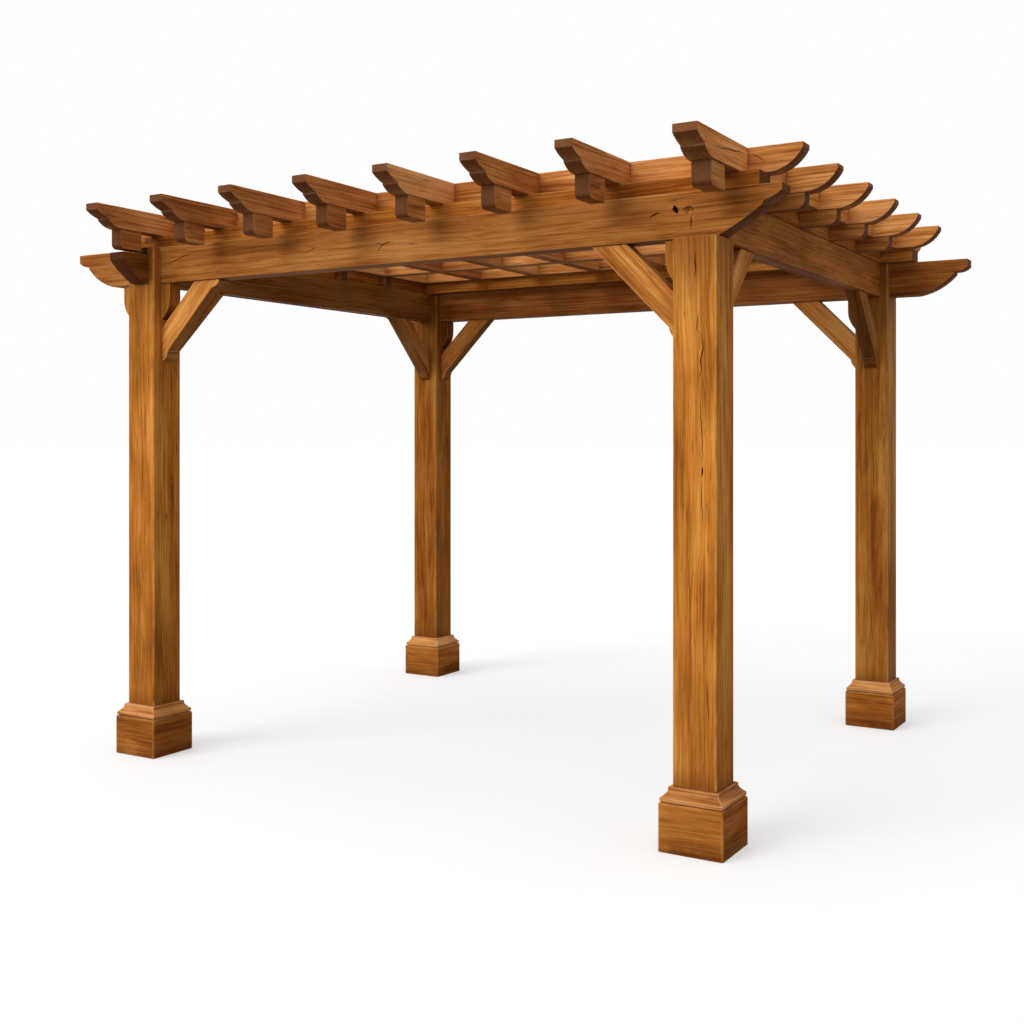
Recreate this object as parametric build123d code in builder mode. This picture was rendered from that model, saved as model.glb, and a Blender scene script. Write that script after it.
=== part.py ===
"""Wooden garden pergola with a rectangular plan.

Four timber posts on moulded bases carry four beams at one level. The beams cross in
slotted post heads and run out as shaped tails. Knee braces stiffen each corner. On the
beams lie plates, with short blocks across the side plates, and on those a two-way grid of
rafters, half lapped into each other, flush top and bottom, with shaped tails on all four
sides. A drop block hangs under each tail of the cross rafters.

Frame: X along the front, Y from front to back, Z up, millimetres. The origin is on the
ground at the centre of the plan.
"""
import os
from collections import namedtuple

from build123d import *

# A shaped timber end: its length, the length, rise and upright face of its nose, the small
# step below the nose, how far the belly and the nose bow out, and how much is cut off its
# top over what length. A nose length of 0 makes one plain bow from underside to face
Tail = namedtuple("Tail", "run nose_run nose_rise nose_face step belly nose_bow drop drop_run",
                  defaults=(0, 0, 0))

# Plan: distances between post centres
span_x = 3130
span_y = 2620

# Posts and their bases
post_section = 190
base_width = 280
base_block_height = 200
base_cap_height = 60
base_cap_inset = 5
base_cap_lip = 14
base_cap_hollow = 4
base_cap_step = 13
base_cap_ledge = 14
reveal_height = 4
reveal_depth = 8
arris = 5

# Beams, with how far each tail reaches past the centre of its post
beam_underside = 2480
beam_depth = 190
beam_thickness = 100
long_tail = 525
short_tail = 260
front_right_tail = 350
long_tail_shape = Tail(run=280, nose_run=74, nose_rise=66, nose_face=42, step=13, belly=21, nose_bow=9)
front_right_tail_shape = Tail(run=268, nose_run=80, nose_rise=69, nose_face=30, step=10, belly=5,
                              nose_bow=3)
short_tail_shape = Tail(run=142, nose_run=0, nose_rise=0, nose_face=38, step=0, belly=8, drop=43,
                        drop_run=short_tail - post_section / 2)
beam_housing = 50

# Cheeks on the sides of the post heads, under the front and back beams: the inner ones are
# above the braces, the outer ones on the left posts only
inner_cheek_reach = 58
outer_cheek_reach = 95
cheek_height = 190
cheek_face = 70

# Plates and blocks between the beams and the rafters. The long plates lie on the front and
# back beams, the cross plates on the side beams
plate_height = 70
long_plate_width = 130
long_plate_inset = 60
cross_plate_width = 70
cross_plate_outset = 25
block_thickness = 70
block_inner_reach = 45
block_corner_radius = 36

# Drop blocks under the cross rafter tails
drop_block_length = 140
drop_block_height = 100
drop_block_front_radius = 26
drop_block_back_radius = 14
last_drop_block_thickness = 85

# Rafters: the long ones run along X, the cross ones along Y. Each overhang is how far
# the tails reach past the post centres. The last cross rafter is thicker, stands outside
# the posts, and is a little further from its neighbour than the rest
rafter_depth = 110
rafter_thickness = 82
long_rafter_count = 6
long_rafter_inset = 125
cross_rafter_count = 8
first_cross_rafter_inset = 20
last_cross_rafter_outset = 106
last_cross_rafter_gap = 516
last_cross_rafter_thickness = 104
long_rafter_overhang = 390
cross_rafter_overhang = 440
long_rafter_tail_shape = Tail(run=150, nose_run=0, nose_rise=0, nose_face=20, step=0, belly=24)
cross_rafter_tail_shape = Tail(run=160, nose_run=75, nose_rise=68, nose_face=33, step=6, belly=9,
                               nose_bow=4)

# Knee braces at 45 degrees: how far they reach along the beam and down the post, and the
# shaped toe that ends their lower edge
brace_leg = 398
brace_depth = 115
brace_thickness = 78
toe_reach = 40
toe_flat = 12
toe_step = 8
toe_drop = 9
toe_bow = 4

# Gap on each side of a timber in its notch or slot
side_clearance = 0.3

# Levels and places worked out from the sizes above
half_x = span_x / 2
half_y = span_y / 2
base_top = base_block_height + base_cap_height
beam_middle = beam_underside + beam_depth / 2
beam_top = beam_underside + beam_depth
plate_middle = beam_top + plate_height / 2
plate_top = beam_top + plate_height
rafter_middle = plate_top + rafter_depth / 2
rafter_top = plate_top + rafter_depth
beam_slot = beam_thickness + 2 * side_clearance
long_plate_slot = long_plate_width + 2 * side_clearance
cross_plate_slot = cross_plate_width + 2 * side_clearance
block_slot = block_thickness + 2 * side_clearance
rafter_slot = rafter_thickness + 2 * side_clearance
last_rafter_slot = last_cross_rafter_thickness + 2 * side_clearance
long_plate_y = half_y - long_plate_inset
cross_plate_x = half_x + cross_plate_outset
cross_plate_end = long_plate_y + long_plate_width / 2
long_rafter_reach = half_x + long_rafter_overhang
cross_rafter_reach = half_y + cross_rafter_overhang
block_end_x = long_rafter_reach - long_rafter_tail_shape.run
drop_block_front = cross_rafter_reach - cross_rafter_tail_shape.run
first_cross_rafter = -half_x + first_cross_rafter_inset
last_cross_rafter = half_x + last_cross_rafter_outset
spacing_x = (last_cross_rafter - last_cross_rafter_gap - first_cross_rafter) / (cross_rafter_count - 2)
spacing_y = 2 * (half_y - long_rafter_inset) / (long_rafter_count - 1)
cross_rafter_places = [first_cross_rafter + spacing_x * i for i in range(cross_rafter_count - 1)]
cross_rafter_places.append(last_cross_rafter)
long_rafter_places = [-half_y + long_rafter_inset + spacing_y * i for i in range(long_rafter_count)]
block_places = long_rafter_places[1:-1]


def save(part, name):
    part.label = name
    export_step(part, f"parts/{name}.step")


def side_plane(along, place, thickness):
    """Plane of one side of a timber: its sketch runs along the timber and up."""
    if along == "x":
        return Plane.XZ.offset(-(place + thickness / 2))
    return Plane.YZ.offset(place - thickness / 2)


def cut_notches(along, place, notch_places, width, thickness, low, high):
    """Cut square notches across a timber of the active part, between two levels."""
    through = thickness + 2 * arris
    for notch_place in notch_places:
        centre = (notch_place, place, low) if along == "x" else (place, notch_place, low)
        size = (width, through) if along == "x" else (through, width)
        with Locations(centre):
            Box(*size, high - low, align=(Align.CENTER, Align.CENTER, Align.MIN), mode=Mode.SUBTRACT)


def bowed(start, end, bow):
    """An arc that stands out below the straight line between two points of a lower edge."""
    along = end[0] - start[0]
    rise = end[1] - start[1]
    reach = bow / (along ** 2 + rise ** 2) ** 0.5
    side = 1 if along * rise > 0 else -1
    middle = (start[0] + along / 2 + side * abs(rise) * reach, start[1] + rise / 2 - abs(along) * reach)
    ThreePointArc(start, middle, end)


def tail_edges(start, top, direction, tail):
    """Edges of a shaped end, from the underside at its start up to the top corner.

    A bowed belly leaves the underside, a small step breaks it, and the nose is a second
    bow that ends in a short upright face.
    """
    tip = start[0] + direction * tail.run
    top -= tail.drop
    nose_end = (tip, top - tail.nose_face)
    if tail.nose_run:
        notch = (tip - direction * tail.nose_run, top - tail.nose_rise)
        shoulder = (notch[0], notch[1] - tail.step)
        bowed(start, shoulder, tail.belly)
        Line(shoulder, notch)
        bowed(notch, nose_end, tail.nose_bow)
    else:
        bowed(start, nose_end, tail.belly)
    Line(nose_end, (tip, top))
    if tail.drop:
        inner = tip - direction * tail.drop_run
        Line((tip, top), (inner, top))
        Line((inner, top), (inner, top + tail.drop))


def timber_outline(along, place, ends, underside, depth, thickness, tails):
    """Side outline of a straight timber, with a shaped or square end at each side."""
    top = underside + depth
    starts = []
    tops = []
    for end, direction, tail in zip(ends, (-1, 1), tails):
        starts.append((end - direction * tail.run if tail else end, underside))
        tops.append((end - direction * tail.drop_run if tail else end, top))
    with BuildSketch(side_plane(along, place, thickness)) as outline:
        with BuildLine():
            Line(*starts)
            for start, direction, tail in zip(starts, (-1, 1), tails):
                if tail:
                    tail_edges(start, top, direction, tail)
                else:
                    Line(start, (start[0], top))
            Line(*tops)
        make_face()
    return outline.sketch


def bar_outline(along, place, ends, low, high, thickness, radii):
    """Side outline of a plate or block; radii are those of its two lower corners, or 0."""
    with BuildSketch(side_plane(along, place, thickness)) as outline:
        with Locations((ends[0], low)):
            Rectangle(ends[1] - ends[0], high - low, align=Align.MIN)
        corners = outline.vertices().group_by(Axis.Y)[0].sort_by(Axis.X)
        for corner, radius in zip(corners, radii):
            if radius:
                fillet(corner, radius)
    return outline.sketch


def make_base_block(x, y):
    with BuildPart() as block:
        with BuildSketch():
            with Locations((x, y)):
                Rectangle(base_width, base_width)
        extrude(amount=base_block_height)
        chamfer(block.edges().filter_by(Axis.Z), arris)
        chamfer(block.faces().sort_by(Axis.Z)[-1].edges(), arris)
    return block.part


def cap_outline(plane, centre):
    """Side outline of the base cap: a reveal, a lip, a hollow slope, a step and a ledge."""
    lip = base_width / 2 - base_cap_inset
    neck = lip - reveal_depth
    ledge = post_section / 2 + base_cap_ledge
    lip_low = base_block_height + reveal_height
    lip_high = lip_low + base_cap_lip
    slope_top = base_top - base_cap_step
    with BuildSketch(plane) as outline:
        with BuildLine():
            Line((centre - neck, base_block_height), (centre + neck, base_block_height))
            for side in (-1, 1):
                foot = (centre + side * lip, lip_high)
                head = (centre + side * ledge, slope_top)
                middle = (centre + side * (lip + ledge) / 2, (lip_high + slope_top) / 2 - base_cap_hollow)
                Polyline((centre + side * neck, base_block_height), (centre + side * neck, lip_low),
                         (centre + side * lip, lip_low), foot)
                ThreePointArc(foot, middle, head)
                Line(head, (head[0], base_top))
            Line((centre - ledge, base_top), (centre + ledge, base_top))
        make_face()
    return outline.sketch


def make_base_cap(x, y):
    """One outline run both ways and intersected, which mitres the four corners."""
    with BuildPart() as cap:
        extrude(cap_outline(side_plane("x", y, base_width), x), amount=base_width)
        extrude(cap_outline(side_plane("y", x, base_width), y), amount=base_width,
                mode=Mode.INTERSECT)
    return cap.part


def cheek_outline(plane, post_face, reach):
    """Side outline of a cheek: square under the beam, rounded back to the post below."""
    low = beam_underside - cheek_height
    outer = post_face + reach
    with BuildSketch(plane) as outline:
        with BuildLine():
            Polyline((post_face, low), (post_face, beam_underside), (outer, beam_underside),
                     (outer, beam_underside - cheek_face))
            TangentArc((outer, beam_underside - cheek_face), (post_face, low), tangent=(0, -1))
        make_face()
    return outline.sketch


def make_post(x, y, cheeks, open_front):
    """A post with a cross slot in its head and a cheek for each reach in cheeks.

    A negative reach puts the cheek on the left side. open_front cuts away the two front
    horns of the head.
    """
    with BuildPart() as post:
        with BuildSketch(Plane.XY.offset(base_top)):
            with Locations((x, y)):
                Rectangle(post_section, post_section)
        extrude(amount=beam_top - base_top)
        chamfer(post.edges().filter_by(Axis.Z), arris)
        cut_notches("x", y, [x], beam_slot, post_section, beam_underside, beam_top)
        cut_notches("y", x, [y], beam_slot, post_section, beam_underside, beam_top)
        if open_front:
            front_y = y - (post_section + beam_slot) / 4
            front_width = (post_section - beam_slot) / 2
            cut_notches("y", x, [front_y], front_width, post_section, beam_underside, beam_top)
        for reach in cheeks:
            face_x = x + (post_section / 2 if reach > 0 else -post_section / 2)
            outline = cheek_outline(side_plane("x", y, brace_thickness), face_x, reach)
            extrude(outline, amount=brace_thickness)
    return post.part


def make_front_beam():
    ends = (-half_x - long_tail, half_x + front_right_tail)
    with BuildPart() as beam:
        outline = timber_outline("x", -half_y, ends, beam_underside, beam_depth, beam_thickness,
                                 (long_tail_shape, front_right_tail_shape))
        extrude(outline, amount=beam_thickness)
        cut_notches("x", -half_y, [-half_x], beam_slot, beam_thickness, beam_middle, beam_top)
        housing_y = -half_y + beam_thickness / 2
        with Locations((half_x, housing_y, beam_middle)):
            Box(beam_slot, 2 * beam_housing, beam_depth / 2,
                align=(Align.CENTER, Align.CENTER, Align.MIN), mode=Mode.SUBTRACT)
    return beam.part


def make_back_beam():
    ends = (-half_x - long_tail, half_x + long_tail)
    with BuildPart() as beam:
        outline = timber_outline("x", half_y, ends, beam_underside, beam_depth, beam_thickness,
                                 (long_tail_shape, long_tail_shape))
        extrude(outline, amount=beam_thickness)
        cut_notches("x", half_y, [-half_x, half_x], beam_slot, beam_thickness, beam_middle, beam_top)
    return beam.part


def make_left_beam():
    ends = (-half_y - short_tail, half_y + short_tail)
    with BuildPart() as beam:
        outline = timber_outline("y", -half_x, ends, beam_underside, beam_depth, beam_thickness,
                                 (short_tail_shape, short_tail_shape))
        extrude(outline, amount=beam_thickness)
        cut_notches("y", -half_x, [-half_y, half_y], beam_slot, beam_thickness,
                    beam_underside, beam_middle)
    return beam.part


def make_right_beam():
    """The right beam stops inside the front beam: a tongue of its upper half is let in."""
    shoulder = -half_y + beam_thickness / 2 + side_clearance
    tongue_end = -half_y + beam_thickness / 2 - beam_housing + side_clearance
    tongue_length = shoulder - tongue_end
    with BuildPart() as beam:
        outline = timber_outline("y", half_x, (tongue_end, half_y + short_tail), beam_underside,
                                 beam_depth, beam_thickness, (None, short_tail_shape))
        extrude(outline, amount=beam_thickness)
        cut_notches("y", half_x, [half_y], beam_slot, beam_thickness, beam_underside, beam_middle)
        cut_notches("y", half_x, [tongue_end + tongue_length / 2], tongue_length, beam_thickness,
                    beam_underside, beam_middle)
    return beam.part


def make_long_plate(y):
    ends = (-block_end_x, block_end_x)
    with BuildPart() as plate:
        outline = bar_outline("x", y, ends, beam_top, plate_top, long_plate_width,
                              (block_corner_radius, block_corner_radius))
        extrude(outline, amount=long_plate_width)
        cut_notches("x", y, [-cross_plate_x, cross_plate_x], cross_plate_slot, long_plate_width,
                    plate_middle, plate_top)
    return plate.part


def make_cross_plate(x):
    ends = (-cross_plate_end, cross_plate_end)
    with BuildPart() as plate:
        outline = bar_outline("y", x, ends, beam_top, plate_top, cross_plate_width, (0, 0))
        extrude(outline, amount=cross_plate_width)
        cut_notches("y", x, [-long_plate_y, long_plate_y], long_plate_slot, cross_plate_width,
                    beam_top, plate_middle)
        cut_notches("y", x, block_places, block_slot, cross_plate_width, beam_top, plate_middle)
    return plate.part


def make_front_and_back_blocks():
    """Drop blocks hung under the tails of the cross rafters."""
    back = drop_block_front - drop_block_length
    low = plate_top - drop_block_height
    with BuildPart() as blocks:
        for x in cross_rafter_places:
            thickness = last_drop_block_thickness if x == last_cross_rafter else block_thickness
            extrude(bar_outline("y", x, (-drop_block_front, -back), low, plate_top, thickness,
                                (drop_block_front_radius, drop_block_back_radius)),
                    amount=thickness)
            extrude(bar_outline("y", x, (back, drop_block_front), low, plate_top, thickness,
                                (drop_block_back_radius, drop_block_front_radius)),
                    amount=thickness)
    return blocks.part


def make_side_blocks():
    """Blocks under the ends of the inner long rafters, notched under the cross plates."""
    inner = cross_plate_x - cross_plate_width / 2 - block_inner_reach
    with BuildPart() as blocks:
        for y in block_places:
            extrude(bar_outline("x", y, (-block_end_x, -inner), beam_top, plate_top, block_thickness,
                                (block_corner_radius, 0)), amount=block_thickness)
            extrude(bar_outline("x", y, (inner, block_end_x), beam_top, plate_top, block_thickness,
                                (0, block_corner_radius)), amount=block_thickness)
            cut_notches("x", y, [-cross_plate_x, cross_plate_x], cross_plate_slot, block_thickness,
                        plate_middle, plate_top)
    return blocks.part


def make_long_rafter(y):
    ends = (-long_rafter_reach, long_rafter_reach)
    with BuildPart() as rafter:
        outline = timber_outline("x", y, ends, plate_top, rafter_depth, rafter_thickness,
                                 (long_rafter_tail_shape, long_rafter_tail_shape))
        extrude(outline, amount=rafter_thickness)
        cut_notches("x", y, cross_rafter_places[:-1], rafter_slot, rafter_thickness,
                    rafter_middle, rafter_top)
        cut_notches("x", y, [last_cross_rafter], last_rafter_slot, rafter_thickness,
                    rafter_middle, rafter_top)
    return rafter.part


def make_cross_rafter(x):
    ends = (-cross_rafter_reach, cross_rafter_reach)
    thickness = last_cross_rafter_thickness if x == last_cross_rafter else rafter_thickness
    with BuildPart() as rafter:
        outline = timber_outline("y", x, ends, plate_top, rafter_depth, thickness,
                                 (cross_rafter_tail_shape, cross_rafter_tail_shape))
        extrude(outline, amount=thickness)
        cut_notches("y", x, long_rafter_places, rafter_slot, thickness, plate_top, rafter_middle)
    return rafter.part


def make_brace(along, place, post_face, direction, toe_at_beam=False):
    """A knee brace from a post face to the underside of the beam above it.

    Its lower edge breaks into a small rounded toe at the post, and at the beam too where
    toe_at_beam says so. The toes mirror each other across the brace.
    """
    def point(out, down):
        return (post_face + direction * out, beam_underside - down)

    foot = brace_depth * 2 ** 0.5
    kink = brace_leg - toe_reach
    end = brace_leg + toe_drop
    with BuildPart() as brace:
        with BuildSketch(side_plane(along, place, brace_thickness)):
            with BuildLine():
                Polyline(point(toe_reach, kink), point(toe_reach, kink + toe_step))
                bowed(point(toe_flat, end), point(toe_reach, kink + toe_step), toe_bow)
                Polyline(point(toe_flat, end), point(0, end), point(0, brace_leg - foot),
                         point(brace_leg - foot, 0))
                if toe_at_beam:
                    Polyline(point(toe_reach, kink), point(kink, toe_reach),
                             point(kink + toe_step, toe_reach))
                    bowed(point(kink + toe_step, toe_reach), point(end, toe_flat), toe_bow)
                    Polyline(point(end, toe_flat), point(end, 0), point(brace_leg - foot, 0))
                else:
                    Polyline(point(toe_reach, kink), point(brace_leg, 0), point(brace_leg - foot, 0))
            make_face()
        extrude(amount=brace_thickness)
    return brace.part


os.makedirs("parts", exist_ok=True)

corners = {
    "front_left": (-half_x, -half_y),
    "front_right": (half_x, -half_y),
    "back_left": (-half_x, half_y),
    "back_right": (half_x, half_y),
}
for corner, (x, y) in corners.items():
    save(make_base_block(x, y), f"{corner}_base_block")
    save(make_base_cap(x, y), f"{corner}_base_cap")
    end, side = corner.split("_")
    toward_x = -1 if x > 0 else 1
    toward_y = -1 if y > 0 else 1
    cheeks = (-outer_cheek_reach, inner_cheek_reach) if side == "left" else (-inner_cheek_reach,)
    save(make_post(x, y, cheeks, open_front=corner == "front_right"), f"{corner}_post")
    save(make_brace("x", y, x + toward_x * post_section / 2, toward_x,
                    toe_at_beam=corner == "front_left"), f"{end}_beam_{side}_brace")
    save(make_brace("y", x, y + toward_y * post_section / 2, toward_y), f"{side}_beam_{end}_brace")

save(make_front_beam(), "front_beam")
save(make_back_beam(), "back_beam")
save(make_left_beam(), "left_beam")
save(make_right_beam(), "right_beam")
save(make_long_plate(-long_plate_y), "front_plate")
save(make_long_plate(long_plate_y), "back_plate")
save(make_cross_plate(-cross_plate_x), "left_plate")
save(make_cross_plate(cross_plate_x), "right_plate")
save(make_front_and_back_blocks(), "front_and_back_blocks")
save(make_side_blocks(), "side_blocks")
for number, y in enumerate(long_rafter_places, 1):
    save(make_long_rafter(y), f"long_rafter_{number}")
for number, x in enumerate(cross_rafter_places, 1):
    save(make_cross_rafter(x), f"cross_rafter_{number}")
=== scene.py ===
"""Looks of the wooden garden pergola: oiled timber with grain, drying cracks, and rubbed arrises
with a painted highlight.

Every timber keeps its CAD shape. Modifiers soften its edges and open its drying cracks,
and a procedural wood follows the grain of each piece. Metres, in the frame of the model.
"""
import math
import random

import bmesh
import bpy
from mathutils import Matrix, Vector


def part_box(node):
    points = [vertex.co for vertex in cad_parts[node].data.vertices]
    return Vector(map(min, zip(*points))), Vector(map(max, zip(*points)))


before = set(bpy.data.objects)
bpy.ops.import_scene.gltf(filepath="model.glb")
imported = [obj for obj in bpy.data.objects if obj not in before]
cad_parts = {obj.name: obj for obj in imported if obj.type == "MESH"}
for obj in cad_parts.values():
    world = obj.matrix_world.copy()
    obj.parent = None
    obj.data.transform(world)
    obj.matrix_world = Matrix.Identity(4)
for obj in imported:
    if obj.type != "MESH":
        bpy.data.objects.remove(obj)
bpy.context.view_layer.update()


# Colours

def srgb(red, green, blue):
    """A colour given as 0 to 255 steps of a screen, as the shader's linear numbers."""
    steps = [c / 255 for c in (red, green, blue)]
    linear = [c / 12.92 if c <= 0.04045 else ((c + 0.055) / 1.055) ** 2.4 for c in steps]
    return (*linear, 1)


WOOD_DARK = srgb(118, 62, 18)
WOOD_MID = srgb(158, 94, 34)
WOOD_MAIN = srgb(186, 118, 48)
WOOD_LIGHT = srgb(214, 150, 74)
WOOD_RED = srgb(150, 78, 30)
# Dark of the fibres, also used as painted shade on undersides and at the heads of the posts
FIBRE_DARK_AND_PAINTED_SHADE = srgb(88, 44, 14)
END_GRAIN = srgb(96, 58, 30)
# Colour of rubbed arrises, with a painted highlight
ARRIS_WORN_AND_HIGHLIT = srgb(216, 158, 92)
CRACK_DARK = srgb(34, 15, 5)
WHITE = (1, 1, 1, 1)

# How light each kind of timber is, as shares of the wood's red, green and blue
SHADES = {
    "post": (1.18, 1.13, 0.92),
    "brace": (1.36, 1.44, 1.75),
    "front_beam": (0.76, 0.71, 0.80),
    "side_beam": (0.80, 0.74, 0.66),
    # The rafters are lighter partly by their own colour and partly as painted light on their faces
    # that the light falls on
    "rafter": (1.26, 1.36, 2.20),
    "plate": (1.00, 0.92, 0.80),
    "blocks": (0.95, 0.97, 1.40),
    "base_block": (0.88, 0.80, 0.68),
    "base_cap": (1.25, 1.45, 2.60),
}

# Painted shade and painted light on whole timbers: those that stand in shade are darker than the
# rest of their kind, and those that the light falls on lighter, by this share
PAINTED_LIGHT_AND_SHADE_SHARE = {
    "back_left_post": 0.74,
    "back_right_post": 0.72,
    "left_beam": 0.62,
    "back_beam": 1.08,
    "cross_rafter_8": 1.25,
    "right_beam_back_brace": 0.6,
    "left_beam_back_brace": 0.7,
    "left_beam_front_brace": 0.6,
}


# Shader building blocks

class Shader:
    """Adds and links the nodes of one tree."""

    def __init__(self, tree):
        self.tree = tree

    def node(self, kind, **settings):
        made = self.tree.nodes.new(kind)
        for name, value in settings.items():
            setattr(made, name, value)
        return made

    def feed(self, socket, value):
        if isinstance(value, bpy.types.NodeSocket):
            self.tree.links.new(value, socket)
        else:
            socket.default_value = value

    def math(self, operation, first, second=0.0):
        made = self.node("ShaderNodeMath", operation=operation)
        self.feed(made.inputs[0], first)
        self.feed(made.inputs[1], second)
        return made.outputs[0]

    def add_share(self, total, pattern, share):
        """The total with this share of a pattern added."""
        return self.math("ADD", total, self.math("MULTIPLY", pattern, share))

    def vector(self, operation, first, second=(0, 0, 0)):
        made = self.node("ShaderNodeVectorMath", operation=operation)
        self.feed(made.inputs[0], first)
        self.feed(made.inputs[1], second)
        wanted = "Value" if operation in ("DOT_PRODUCT", "LENGTH") else "Vector"
        return made.outputs[wanted]

    def combine(self, x, y, z):
        made = self.node("ShaderNodeCombineXYZ")
        for socket, value in zip(made.inputs, (x, y, z)):
            self.feed(socket, value)
        return made.outputs[0]

    def split(self, vector):
        made = self.node("ShaderNodeSeparateXYZ")
        self.feed(made.inputs[0], vector)
        return made.outputs

    def noise(self, vector, detail=3.0, roughness=0.55):
        made = self.node("ShaderNodeTexNoise")
        self.feed(made.inputs["Vector"], vector)
        made.inputs["Scale"].default_value = 1
        made.inputs["Detail"].default_value = detail
        made.inputs["Roughness"].default_value = roughness
        return made.outputs

    def blotches(self, place, scale, seed):
        """Soft noise of one scale in every direction, different for each seed."""
        scaled = self.vector("MULTIPLY", place, (scale,) * 3)
        return self.noise(self.vector("ADD", scaled, (seed,) * 3))["Fac"]

    def step(self, value, low, high, start=0.0, end=1.0):
        """Goes smoothly from start to end while the value rises from low to high."""
        made = self.node("ShaderNodeMapRange", interpolation_type="SMOOTHSTEP")
        for socket, number in zip(made.inputs, (value, low, high, start, end)):
            self.feed(socket, number)
        return made.outputs[0]

    def mix(self, share, first, second, blend="MIX"):
        made = self.node("ShaderNodeMix", data_type="RGBA", blend_type=blend)
        self.feed(made.inputs["Factor"], share)
        self.feed(made.inputs["A"], first)
        self.feed(made.inputs["B"], second)
        return made.outputs["Result"]

    def ramp(self, value, stops):
        made = self.node("ShaderNodeValToRGB")
        ramp = made.color_ramp
        while len(ramp.elements) < len(stops):
            ramp.elements.new(0.5)
        for element, (place, colour) in zip(ramp.elements, stops):
            element.position = place
            element.color = colour
        self.feed(made.inputs[0], value)
        return made.outputs[0]


# Wood

# Distance from one growth ring to the next, of the bold rings and of the fine ones
COARSE_RING = 0.017
FINE_RING = 0.0053

# Tone of the plain wood, and the colours from the darkest tone to the lightest
PLAIN_TONE = 0.60
TONES = [(0.28, WOOD_DARK), (0.44, WOOD_MID), (0.58, WOOD_MAIN), (0.80, WOOD_LIGHT)]

# Where a face starts to count as end grain and where it fully does, 1 being square to the grain
END_FACING = (0.2, 0.6)

# Darker reaches of the posts: towards the foot, and painted shade beneath the beams at the head;
# low and high level, the share at each of them, and the colour
POST_FOOT_AND_PAINTED_HEAD_SHADE = [
    (0.26, 1.20, 0.30, 0, WOOD_DARK),
    (0.25, 0.36, 0.50, 0, FIBRE_DARK_AND_PAINTED_SHADE),
    # Painted shade beneath the beams
    (2.08, 2.49, 0, 0.48, FIBRE_DARK_AND_PAINTED_SHADE),
]

# Darker towards the foot of the base blocks, in patches: how high it reaches, and its share low and
# high
FOOT_DARKENING_HEIGHT = 0.11
FOOT_DARKENING_SHARES = (0.6, 0.12)

# Share of painted shade on the undersides
UNDERSIDE_PAINTED_SHADE = 0.62
SPECULAR_LEVEL = 0.07
GRAIN_RELIEF = 0.0012
ARRIS_WIDTH = 0.0035
# Share of lightening on the arrises, part rubbing and part painted highlight
ARRIS_WEAR_AND_HIGHLIGHT = 0.55

GROUP_SOCKETS = {
    "INPUT": [("Grain", "Vector"), ("Seed", "Float"), ("Pith", "Vector"), ("Facing", "Float"),
              ("Tone", "Float"), ("Shade", "Color")],
    "OUTPUT": [("Colour", "Color"), ("Roughness", "Float"), ("Height", "Float")],
}

# Direction of the grain and the two directions across it, by the axis that a timber follows
GRAIN_ALONG = {
    "x": ((1, 0, 0), (0, 1, 0), (0, 0, 1)),
    "y": ((0, 1, 0), (1, 0, 0), (0, 0, 1)),
    "z": ((0, 0, 1), (1, 0, 0), (0, 1, 0)),
}


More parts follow.
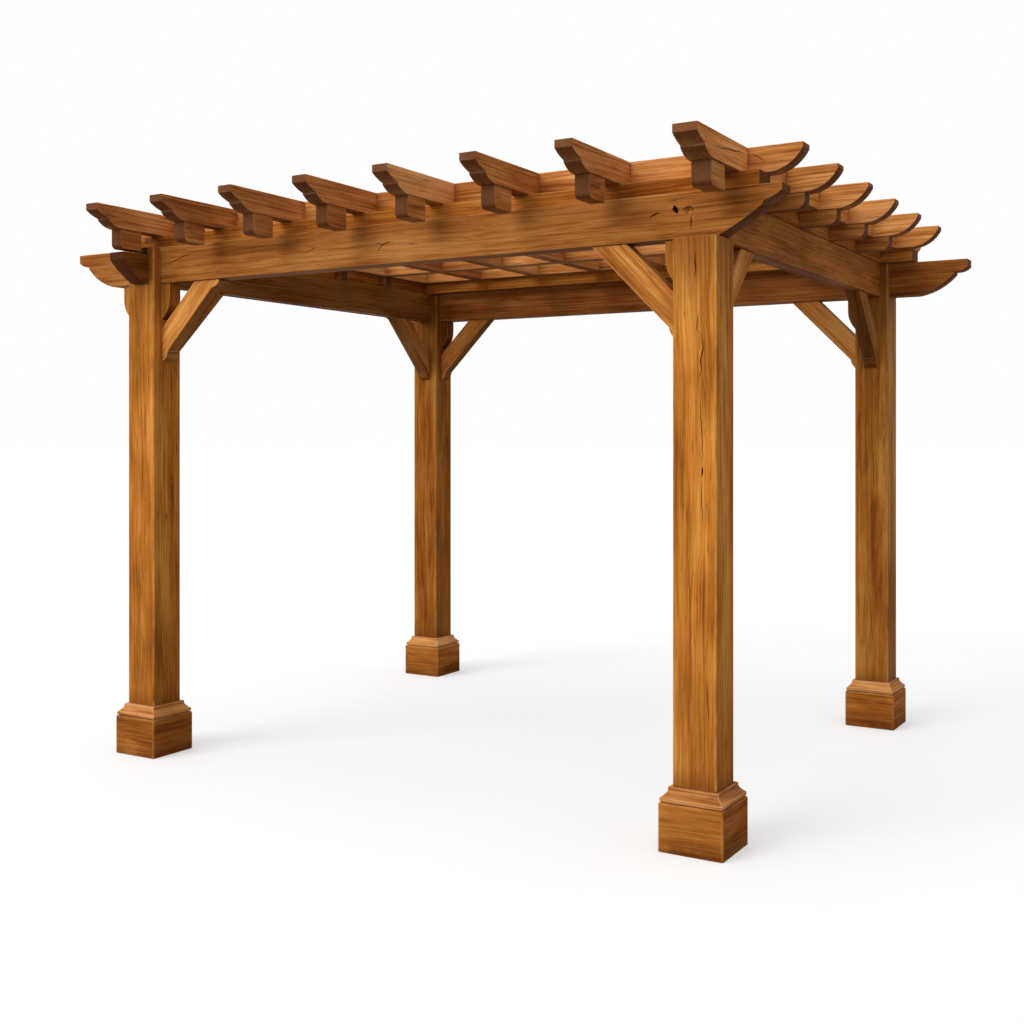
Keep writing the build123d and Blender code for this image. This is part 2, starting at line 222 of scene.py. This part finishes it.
def wood_group():
    """Wood of one timber, from its own coordinates: x along the grain, y and z across."""
    tree = bpy.data.node_groups.new("wood", "ShaderNodeTree")
    for way, sockets in GROUP_SOCKETS.items():
        for name, kind in sockets:
            tree.interface.new_socket(name, in_out=way, socket_type=f"NodeSocket{kind}")
    s = Shader(tree)
    given = s.node("NodeGroupInput").outputs
    result = s.node("NodeGroupOutput").inputs
    seed = s.combine(given["Seed"], s.math("MULTIPLY", given["Seed"], 1.7), given["Seed"])

    def stretched(along, across, extra=0.0):
        """The place in the timber, scaled along and across the grain and moved by the seed."""
        scaled = s.vector("MULTIPLY", place, (along, across, across))
        return s.vector("ADD", scaled, s.vector("ADD", seed, (extra, extra, extra)))

    def centred(pattern):
        return s.math("SUBTRACT", pattern, 0.5)

    # The grain wanders slowly across the timber
    slow = s.vector("ADD", s.vector("MULTIPLY", given["Grain"], (1.1, 4, 4)), seed)
    wander = s.vector("SUBTRACT", s.noise(slow, 2)["Color"], (0.5, 0.5, 0.5))
    place = s.vector("ADD", given["Grain"], s.vector("MULTIPLY", wander, (0, 0.05, 0.05)))

    # Growth rings round the pith
    across = s.vector("MULTIPLY", s.vector("SUBTRACT", place, given["Pith"]), (0, 1, 1))
    radius = s.add_share(s.vector("LENGTH", across), s.noise(stretched(2, 14, 3))["Fac"], 0.03)
    coarse = s.math("POWER", s.math("FRACT", s.math("DIVIDE", radius, COARSE_RING)), 2.2)
    fine = s.math("POWER", s.math("FRACT", s.math("DIVIDE", radius, FINE_RING)), 2.5)

    # Streaks of several widths along the grain
    broad = s.noise(stretched(0.6, 13), 3, 0.6)["Fac"]
    streak = s.noise(stretched(1.9, 88, 5), 4, 0.62)["Fac"]
    fibre = s.noise(stretched(6, 300, 9), 2, 0.6)["Fac"]
    blotch = s.noise(stretched(1.6, 5, 14), 3, 0.6)["Fac"]

    tone = s.math("MULTIPLY", centred(broad), 0.62)
    tone = s.add_share(tone, centred(streak), 0.72)
    tone = s.add_share(tone, centred(blotch), 0.80)
    tone = s.add_share(tone, coarse, -0.10)
    tone = s.add_share(tone, fine, -0.06)
    tone = s.math("ADD", tone, s.math("ADD", given["Tone"], PLAIN_TONE))

    # Red patches, then dark lines, pores and flecks over the plain wood
    red = s.step(s.noise(stretched(1.3, 8, 21))["Fac"], 0.50, 0.74, 0, 0.42)
    lines = s.step(s.noise(stretched(1.7, 170, 27), 3, 0.65)["Fac"], 0.57, 0.68, 0, 0.42)
    pores = s.step(fibre, 0.54, 0.74, 0, 0.38)
    flecks = s.step(s.noise(stretched(7, 130, 31), 2, 0.7)["Fac"], 0.63, 0.72, 0, 0.65)
    colour = s.mix(red, s.ramp(tone, TONES), WOOD_RED)
    for marks in (lines, pores, flecks):
        colour = s.mix(marks, colour, FIBRE_DARK_AND_PAINTED_SHADE)

    # End grain is darker and shows the rings
    ends = s.add_share(s.math("MULTIPLY", fine, 0.5), streak, 0.5)
    end_colour = s.mix(ends, END_GRAIN, FIBRE_DARK_AND_PAINTED_SHADE)
    colour = s.mix(s.step(given["Facing"], *END_FACING, 0, 0.88), colour, end_colour)
    s.feed(result["Colour"], s.mix(1.0, colour, given["Shade"], "MULTIPLY"))
    s.feed(result["Roughness"], s.step(tone, 0.25, 0.8, 0.85, 0.68))

    height = s.math("MULTIPLY", streak, 0.5)
    for sunk, share in ((fibre, -0.5), (flecks, -0.6), (lines, -0.5)):
        height = s.add_share(height, sunk, share)
    s.feed(result["Height"], height)
    return tree


WOOD = wood_group()


def wood_material(name, centre, directions, seed, pith, tone, shade, wear_and_highlight, mitred):
    """Wood with its grain along the first of three directions.

    Rubbing and a painted highlight lighten it, as at an arris, but not on the undersides or end
    grain. On a mitred piece the grain runs round its four sides.
    """
    material = bpy.data.materials.new(name)
    material.use_nodes = True
    s = Shader(material.node_tree)
    shader = material.node_tree.nodes["Principled BSDF"]
    spot = s.node("ShaderNodeTexCoord").outputs["Object"]
    place = s.vector("SUBTRACT", spot, tuple(centre))
    normal = s.node("ShaderNodeNewGeometry").outputs["True Normal"]
    grain = s.combine(*[s.vector("DOT_PRODUCT", place, d) for d in directions])
    facing = s.math("ABSOLUTE", s.vector("DOT_PRODUCT", normal, directions[0]))
    if mitred:
        x, y, z = s.split(place)
        beside = s.math("GREATER_THAN", s.math("ABSOLUTE", x), s.math("ABSOLUTE", y))
        turned = s.combine(y, s.math("ADD", x, 3), z)
        grain = s.mix(beside, grain, turned)
        facing = 0.0
    wood = s.node("ShaderNodeGroup", node_tree=WOOD)
    for socket, value in (("Grain", grain), ("Facing", facing), ("Seed", seed), ("Pith", pith),
                          ("Tone", tone), ("Shade", (*shade, 1))):
        s.feed(wood.inputs[socket], value)

    # Painted shade darkens the undersides; the posts darken towards the foot and, as painted shade
    # beneath the beams, towards the head; the base blocks darken towards the foot, in patches
    underside_shade = s.step(s.split(normal)[2], -0.75, -0.15, UNDERSIDE_PAINTED_SHADE, 0)
    colour = s.mix(underside_shade, wood.outputs["Colour"], FIBRE_DARK_AND_PAINTED_SHADE)
    height = s.split(spot)[2]
    if name.endswith(("post_wood", "post_arris")):
        for low, high, low_share, high_share, darker in POST_FOOT_AND_PAINTED_HEAD_SHADE:
            share = s.step(height, low, high, low_share, high_share)
            colour = s.mix(share, colour, darker)
    if "base_block" in name:
        patchy = s.step(s.blotches(spot, 14, seed), 0.3, 0.6, 0.4, 1)
        foot_darkening = s.math("MULTIPLY", s.step(height, 0.0, FOOT_DARKENING_HEIGHT, *FOOT_DARKENING_SHARES), patchy)
        colour = s.mix(foot_darkening, colour, FIBRE_DARK_AND_PAINTED_SHADE)
    # Lighter arrises, part rubbing and part painted highlight, kept off the undersides and end
    # grain
    if wear_and_highlight:
        worn_and_lit = s.step(s.blotches(place, 9, seed), 0.3, 0.7, 0.1 * wear_and_highlight, wear_and_highlight)
        hidden = s.math("MAXIMUM", underside_shade, s.step(facing, *END_FACING, 0, 0.8))
        edge_wear_and_highlight = s.math("MULTIPLY", worn_and_lit, s.math("SUBTRACT", 1.0, hidden))
        colour = s.mix(edge_wear_and_highlight, colour, s.mix(1.0, ARRIS_WORN_AND_HIGHLIT, (*shade, 1), "MULTIPLY"))

    bump = s.node("ShaderNodeBump")
    bump.inputs["Strength"].default_value = 0.5
    bump.inputs["Distance"].default_value = GRAIN_RELIEF
    s.feed(bump.inputs["Height"], wood.outputs["Height"])
    s.feed(shader.inputs["Base Color"], colour)
    s.feed(shader.inputs["Roughness"], wood.outputs["Roughness"])
    s.feed(shader.inputs["Normal"], bump.outputs["Normal"])
    shader.inputs["Specular IOR Level"].default_value = SPECULAR_LEVEL
    return material


def timber_directions(name):
    """Grain direction of a node by its name, then the two directions across it."""
    low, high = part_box(name)
    size = high - low
    if name.endswith("brace"):
        centre = (low + high) / 2
        along_x = size.x > size.y
        toward = 1 if (centre.x if along_x else centre.y) < 0 else -1
        lean = Vector((toward, 0, 1)) if along_x else Vector((0, toward, 1))
        lean.normalize()
        side = Vector((0, 1, 0)) if along_x else Vector((1, 0, 0))
        return tuple(lean), tuple(side), tuple(lean.cross(side))
    if name.endswith("post"):
        return GRAIN_ALONG["z"]
    if name == "front_and_back_blocks":
        return GRAIN_ALONG["y"]
    if name == "side_blocks":
        return GRAIN_ALONG["x"]
    return GRAIN_ALONG["x" if size.x >= size.y else "y"]


def shade_of(name):
    """Shade of one timber: that of its kind, times its share of painted light or shade where it has
    one.
    """
    kind = "rafter"
    if name in ("front_beam", "back_beam"):
        kind = "front_beam"
    elif name in ("left_beam", "right_beam"):
        kind = "side_beam"
    for ending in ("brace", "post", "plate", "blocks", "base_block", "base_cap"):
        if name.endswith(ending):
            kind = ending
    return tuple(share * PAINTED_LIGHT_AND_SHADE_SHARE.get(name, 1) for share in SHADES[kind])


def soften(piece):
    """Joins the mesh's split corners, merges its flat faces and rounds its edges, lighter there by
    rubbing and a painted highlight.
    """
    piece.modifiers.new("weld", "WELD").merge_threshold = 0.00002
    flat = piece.modifiers.new("flat", "DECIMATE")
    flat.decimate_type = "DISSOLVE"
    flat.angle_limit = math.radians(1)
    bevel = piece.modifiers.new("arris", "BEVEL")
    bevel.width = ARRIS_WIDTH
    bevel.segments = 2
    bevel.limit_method = "ANGLE"
    bevel.angle_limit = math.radians(32)
    bevel.harden_normals = True
    bevel.material = 1


# Drying cracks

# A blade that cuts a crack stands this far out of the face, and is at least this wide by half
BLADE_OUTSIDE = 0.002
BLADE_LEAST = 0.00015

# Length between the kinks of a crack, and how far a kink strays
KINK_LENGTH = 0.012
KINK_SWAY = 0.0013

# Cracks seen in the photograph: side, width, depth, and points along and up that side
SEEN_CRACKS = {
    "front_beam": [
        ("front", 0.0042, 0.014, [(-1.44, 2.576), (-1.36, 2.592), (-1.31, 2.610), (-1.25, 2.620)]),
        ("front", 0.0036, 0.012, [(-0.500, 2.566), (-0.452, 2.578), (-0.435, 2.586),
                                  (-0.395, 2.590)]),
        ("front", 0.0050, 0.016, [(-0.050, 2.538), (-0.036, 2.556), (-0.016, 2.574),
                                  (0.010, 2.580), (0.046, 2.581)]),
        ("front", 0.0034, 0.010, [(-0.062, 2.583), (-0.040, 2.581), (-0.020, 2.573)]),
        ("front", 0.0066, 0.014, [(1.345, 2.574), (1.362, 2.586), (1.380, 2.593), (1.400, 2.592)]),
        ("front", 0.0230, 0.026, [(1.457, 2.619), (1.461, 2.607), (1.468, 2.596), (1.474, 2.584)]),
        ("front", 0.0050, 0.012, [(1.446, 2.602), (1.456, 2.606), (1.466, 2.606)]),
        ("front", 0.0062, 0.010, [(1.497, 2.588), (1.501, 2.601), (1.514, 2.608), (1.530, 2.606),
                                  (1.541, 2.595), (1.541, 2.580)]),
        ("front", 0.0050, 0.008, [(1.503, 2.582), (1.512, 2.598), (1.522, 2.600)]),
        ("front", 0.0050, 0.008, [(1.512, 2.578), (1.521, 2.594), (1.532, 2.596)]),
        ("front", 0.0060, 0.014, [(1.535, 2.577), (1.531, 2.560), (1.533, 2.540), (1.530, 2.514)]),
        ("front", 0.0020, 0.008, [(1.690, 2.603), (1.716, 2.610), (1.735, 2.604), (1.770, 2.612)]),
    ],
    "front_right_post": [
        ("front", 0.0056, 0.018, [(1.570, 2.424), (1.568, 2.374), (1.572, 2.350), (1.565, 2.312)]),
        ("front", 0.0034, 0.014, [(1.582, 2.166), (1.575, 2.108), (1.590, 2.086)]),
        ("front", 0.0050, 0.020, [(1.585, 2.092), (1.596, 2.070), (1.604, 2.034), (1.592, 1.977),
                                  (1.596, 1.945), (1.583, 1.905)]),
        ("front", 0.0034, 0.016, [(1.590, 1.850), (1.593, 1.745), (1.601, 1.645), (1.603, 1.540)]),
        ("front", 0.0070, 0.020, [(1.602, 1.556), (1.600, 1.535), (1.597, 1.512)]),
        ("front", 0.0030, 0.014, [(1.598, 1.500), (1.596, 1.430), (1.604, 1.310)]),
        ("front", 0.0034, 0.014, [(1.616, 0.708), (1.622, 0.620), (1.629, 0.545)]),
        ("front", 0.0024, 0.010, [(1.540, 1.180), (1.545, 1.060), (1.541, 0.940)]),
    ],
    "cross_rafter_8": [
        ("right", 0.0044, 0.014, [(-1.565, 2.797), (-1.51, 2.792), (-1.45, 2.802), (-1.39, 2.806),
                                  (-1.32, 2.816), (-1.26, 2.820)]),
    ],
    "long_rafter_1": [
        ("front", 0.0040, 0.012, [(1.738, 2.824), (1.765, 2.808), (1.800, 2.786)]),
    ],
}

# Sides whose cracks are all in that list
FULLY_SEEN = (("front_right_post", "front"), ("front_beam", "front"), ("cross_rafter_8", "right"))


def crack_material():
    material = bpy.data.materials.new("crack")
    material.use_nodes = True
    s = Shader(material.node_tree)
    shader = material.node_tree.nodes["Principled BSDF"]
    place = s.vector("MULTIPLY", s.node("ShaderNodeTexCoord").outputs["Object"], (60, 60, 60))
    torn = s.step(s.noise(place)["Fac"], 0.35, 0.7, 0, 0.5)
    s.feed(shader.inputs["Base Color"], s.mix(torn, CRACK_DARK, FIBRE_DARK_AND_PAINTED_SHADE))
    shader.inputs["Roughness"].default_value = 0.9
    shader.inputs["Specular IOR Level"].default_value = 0.1
    return material


CRACK = crack_material()


def post_middle(name):
    """Middle of a post in plan. Its base block is centred on it, while its head is not."""
    low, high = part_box(name.replace("post", "base_block"))
    return (low + high) / 2


def add_blade(mesh, places, width, depth, into):
    """A thin wedge along the places that lie on a face, widest halfway, sunk into the timber."""
    rings = []
    last = len(places) - 1
    for i, place in enumerate(places):
        tangent = (places[min(i + 1, last)] - places[max(i - 1, 0)]).normalized()
        side = tangent.cross(into)
        fullness = math.sin(math.pi * (0.04 + 0.92 * i / last))
        half = width / 2 * fullness + BLADE_LEAST
        outside = place - into * BLADE_OUTSIDE
        bottom = place + into * depth * (0.3 + 0.7 * fullness)
        rings.append([mesh.verts.new(outside + side * half),
                      mesh.verts.new(outside - side * half), mesh.verts.new(bottom)])
    for first, second in zip(rings, rings[1:]):
        for k in range(3):
            mesh.faces.new((first[k], first[(k + 1) % 3], second[(k + 1) % 3], second[k]))
    mesh.faces.new(rings[0])
    mesh.faces.new(rings[-1])


def face_places(name, side, points):
    """Points along and up one side of a timber, as places in space, and the way into it."""
    low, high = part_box(name)
    if name.endswith("post"):
        middle = post_middle(name)
        half = (high.y - low.y) / 2
        low = Vector((middle.x - half, middle.y - half, low.z))
        high = Vector((middle.x + half, middle.y + half, high.z))
    if side in ("front", "back"):
        face = low.y if side == "front" else high.y
        into = Vector((0, 1 if side == "front" else -1, 0))
        return [Vector((u, face, v)) for u, v in points], into
    face = low.x if side == "left" else high.x
    into = Vector((1 if side == "left" else -1, 0, 0))
    return [Vector((face, u, v)) for u, v in points], into


def jagged(points, rolls):
    """The same line with small kinks between its points."""
    line = []
    for (u0, v0), (u1, v1) in zip(points, points[1:]):
        pieces = max(2, round(math.hypot(u1 - u0, v1 - v0) / KINK_LENGTH))
        for i in range(pieces):
            sway = 0 if i == 0 else KINK_SWAY
            line.append((u0 + (u1 - u0) * i / pieces + rolls.uniform(-sway, sway),
                         v0 + (v1 - v0) * i / pieces + rolls.uniform(-sway, sway)))
    return line + [points[-1]]


def spare_post_cracks(name, rolls):
    """Two upright cracks on each side of a post that the photograph doesn't show closely."""
    middle = post_middle(name)
    cracks = []
    for side in ("front", "back", "left", "right"):
        if (name, side) in FULLY_SEEN:
            continue
        centre = middle.x if side in ("front", "back") else middle.y
        for start in (rolls.uniform(0.5, 1.1), rolls.uniform(1.3, 1.7)):
            u = centre + rolls.uniform(-0.05, 0.05)
            lean = rolls.uniform(-0.012, 0.012)
            end = start + rolls.uniform(0.15, 0.38)
            points = [(u, start), (u + lean, (start + end) / 2), (u + lean * 1.5, end)]
            cracks.append((side, rolls.uniform(0.0018, 0.0030), 0.012, points))
    return cracks


def spare_bar_cracks(name, rolls):
    """A few cracks along both sides of a beam or rafter that aren't shown closely."""
    low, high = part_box(name)
    is_beam = name.endswith("beam")
    along_x = high.x - low.x > high.y - low.y
    reach = 1.2 if is_beam else 1.5
    level = (low.z + high.z) / 2
    cracks = []
    for side in (("front", "back") if along_x else ("left", "right")):
        if (name, side) in FULLY_SEEN:
            continue
        for _ in range(3 if is_beam else 2):
            start = rolls.uniform(-reach, reach - 0.3)
            v = level + rolls.uniform(-0.3, 0.3) * (high.z - low.z)
            lean = rolls.uniform(-0.008, 0.008)
            end = start + rolls.uniform(0.07, 0.22)
            points = [(start, v), ((start + end) / 2, v + lean), (end, v + lean * 1.6)]
            cracks.append((side, rolls.uniform(0.0016, 0.0030), 0.010, points))
    return cracks


def open_cracks(piece, name, cracks, rolls):
    """Cuts the cracks into a timber with one hidden cutter."""
    mesh = bmesh.new()
    for side, width, depth, points in cracks:
        places, into = face_places(name, side, jagged(points, rolls))
        add_blade(mesh, places, width, depth, into)
    bmesh.ops.recalc_face_normals(mesh, faces=mesh.faces)
    data = bpy.data.meshes.new(f"{name}_cracks")
    mesh.to_mesh(data)
    mesh.free()
    data.materials.append(CRACK)
    cutter = bpy.data.objects.new(f"{name}_cracks", data)
    bpy.context.scene.collection.objects.link(cutter)
    cutter.hide_render = True
    cutter.hide_viewport = True
    cut = piece.modifiers.new("cracks", "BOOLEAN")
    cut.object = cutter
    cut.operation = "DIFFERENCE"
    cut.solver = "EXACT"
    cut.use_self = True
    cut.material_mode = "TRANSFER"


# Timbers

rolls = random.Random(7)
for name in sorted(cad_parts):
    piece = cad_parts[name]
    low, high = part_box(name)
    centre = (low + high) / 2
    directions = timber_directions(name)
    seed = rolls.uniform(0, 90)
    pith = (0, rolls.uniform(-0.16, 0.16), rolls.choice((-1, 1)) * rolls.uniform(0.10, 0.2))
    tone = rolls.uniform(-0.05, 0.05)
    mitred = name.endswith(("base_cap", "base_block"))
    piece.data.materials.clear()
    for kind, wear_and_highlight in (("wood", 0.0), ("arris", ARRIS_WEAR_AND_HIGHLIGHT)):
        piece.data.materials.append(wood_material(
            f"{name}_{kind}", centre, directions, seed, pith, tone, shade_of(name), wear_and_highlight, mitred))
    soften(piece)
    cracks = SEEN_CRACKS.get(name, [])
    if name.endswith("post"):
        cracks = cracks + spare_post_cracks(name, rolls)
    elif name.endswith("_beam") or "rafter" in name:
        cracks = cracks + spare_bar_cracks(name, rolls)
    if cracks:
        open_cracks(piece, name, cracks, rolls)


# Floor, light and camera

# The floor as bounced light meets it, and how much of what is seen of it is plain white light
FLOOR_BOUNCE = (0.28, 0.28, 0.28, 1)
FLOOR_GLOW = 0.38


def seen_directly(s):
    """1 for what the camera sees, straight on or mirrored, and 0 for light that bounces."""
    path = s.node("ShaderNodeLightPath").outputs
    seen = s.math("MAXIMUM", path["Is Camera Ray"], path["Is Glossy Ray"])
    return s.math("MAXIMUM", seen, path["Is Transmission Ray"])


def make_floor():
    """A white floor that fades out of sight; the object's shadow stays on it, pale."""
    bpy.ops.mesh.primitive_plane_add(size=400, location=(0, 0, 0))
    floor = bpy.context.object
    floor.name = "floor"
    material = bpy.data.materials.new("floor_white")
    material.use_nodes = True
    s = Shader(material.node_tree)
    seen = seen_directly(s)
    plain = material.node_tree.nodes["Principled BSDF"]
    s.feed(plain.inputs["Base Color"], s.mix(seen, FLOOR_BOUNCE, WHITE))
    plain.inputs["Roughness"].default_value = 1
    plain.inputs["Specular IOR Level"].default_value = 0
    white = s.node("ShaderNodeEmission")
    white.inputs["Strength"].default_value = 1.0
    blend = s.node("ShaderNodeMixShader")
    s.feed(blend.inputs[0], s.math("MULTIPLY", seen, FLOOR_GLOW))
    s.feed(blend.inputs[1], plain.outputs[0])
    s.feed(blend.inputs[2], white.outputs[0])
    s.feed(material.node_tree.nodes["Material Output"].inputs["Surface"], blend.outputs[0])
    floor.data.materials.append(material)


def make_world(level):
    """White where it is seen, and this level of light from all round on the object."""
    world = bpy.data.worlds.new("studio")
    bpy.context.scene.world = world
    world.use_nodes = True
    s = Shader(world.node_tree)
    background = world.node_tree.nodes["Background"]
    background.inputs["Color"].default_value = WHITE
    s.feed(background.inputs["Strength"], s.step(seen_directly(s), 0, 1, level, 1))


def make_sun(name, toward, strength, spread):
    """A sun that shines along the direction toward, its disc that many degrees wide."""
    lamp = bpy.data.lights.new(name, "SUN")
    lamp.energy = strength
    lamp.angle = math.radians(spread)
    holder = bpy.data.objects.new(name, lamp)
    holder.rotation_euler = Vector(toward).to_track_quat("-Z", "Y").to_euler()
    bpy.context.scene.collection.objects.link(holder)


def make_camera(place, turn, focal_length, shift):
    """A level camera, turned by that many degrees about the vertical, and its lens."""
    lens = bpy.data.cameras.new("photo_lens")
    lens.lens = focal_length
    lens.sensor_width = 36
    lens.shift_x, lens.shift_y = shift
    camera = bpy.data.objects.new("photo_camera", lens)
    camera.location = place
    camera.rotation_euler = (math.radians(90), 0, math.radians(turn))
    bpy.context.scene.collection.objects.link(camera)
    return camera


make_floor()
make_world(level=0.50)
make_sun("key", toward=(0.36, 0.83, -0.42), strength=1.72, spread=40)
make_sun("camera_side", toward=(-0.504, 0.838, -0.208), strength=0.28, spread=40)
make_sun("overhead", toward=(0.15, 0.10, -1.0), strength=1.15, spread=60)
bpy.context.scene.camera = make_camera(place=(3.556, -6.159, 1.68), turn=30.93,
                                       focal_length=44.75, shift=(0.0013, -0.0748))
bpy.context.scene.view_settings.view_transform = "Standard"
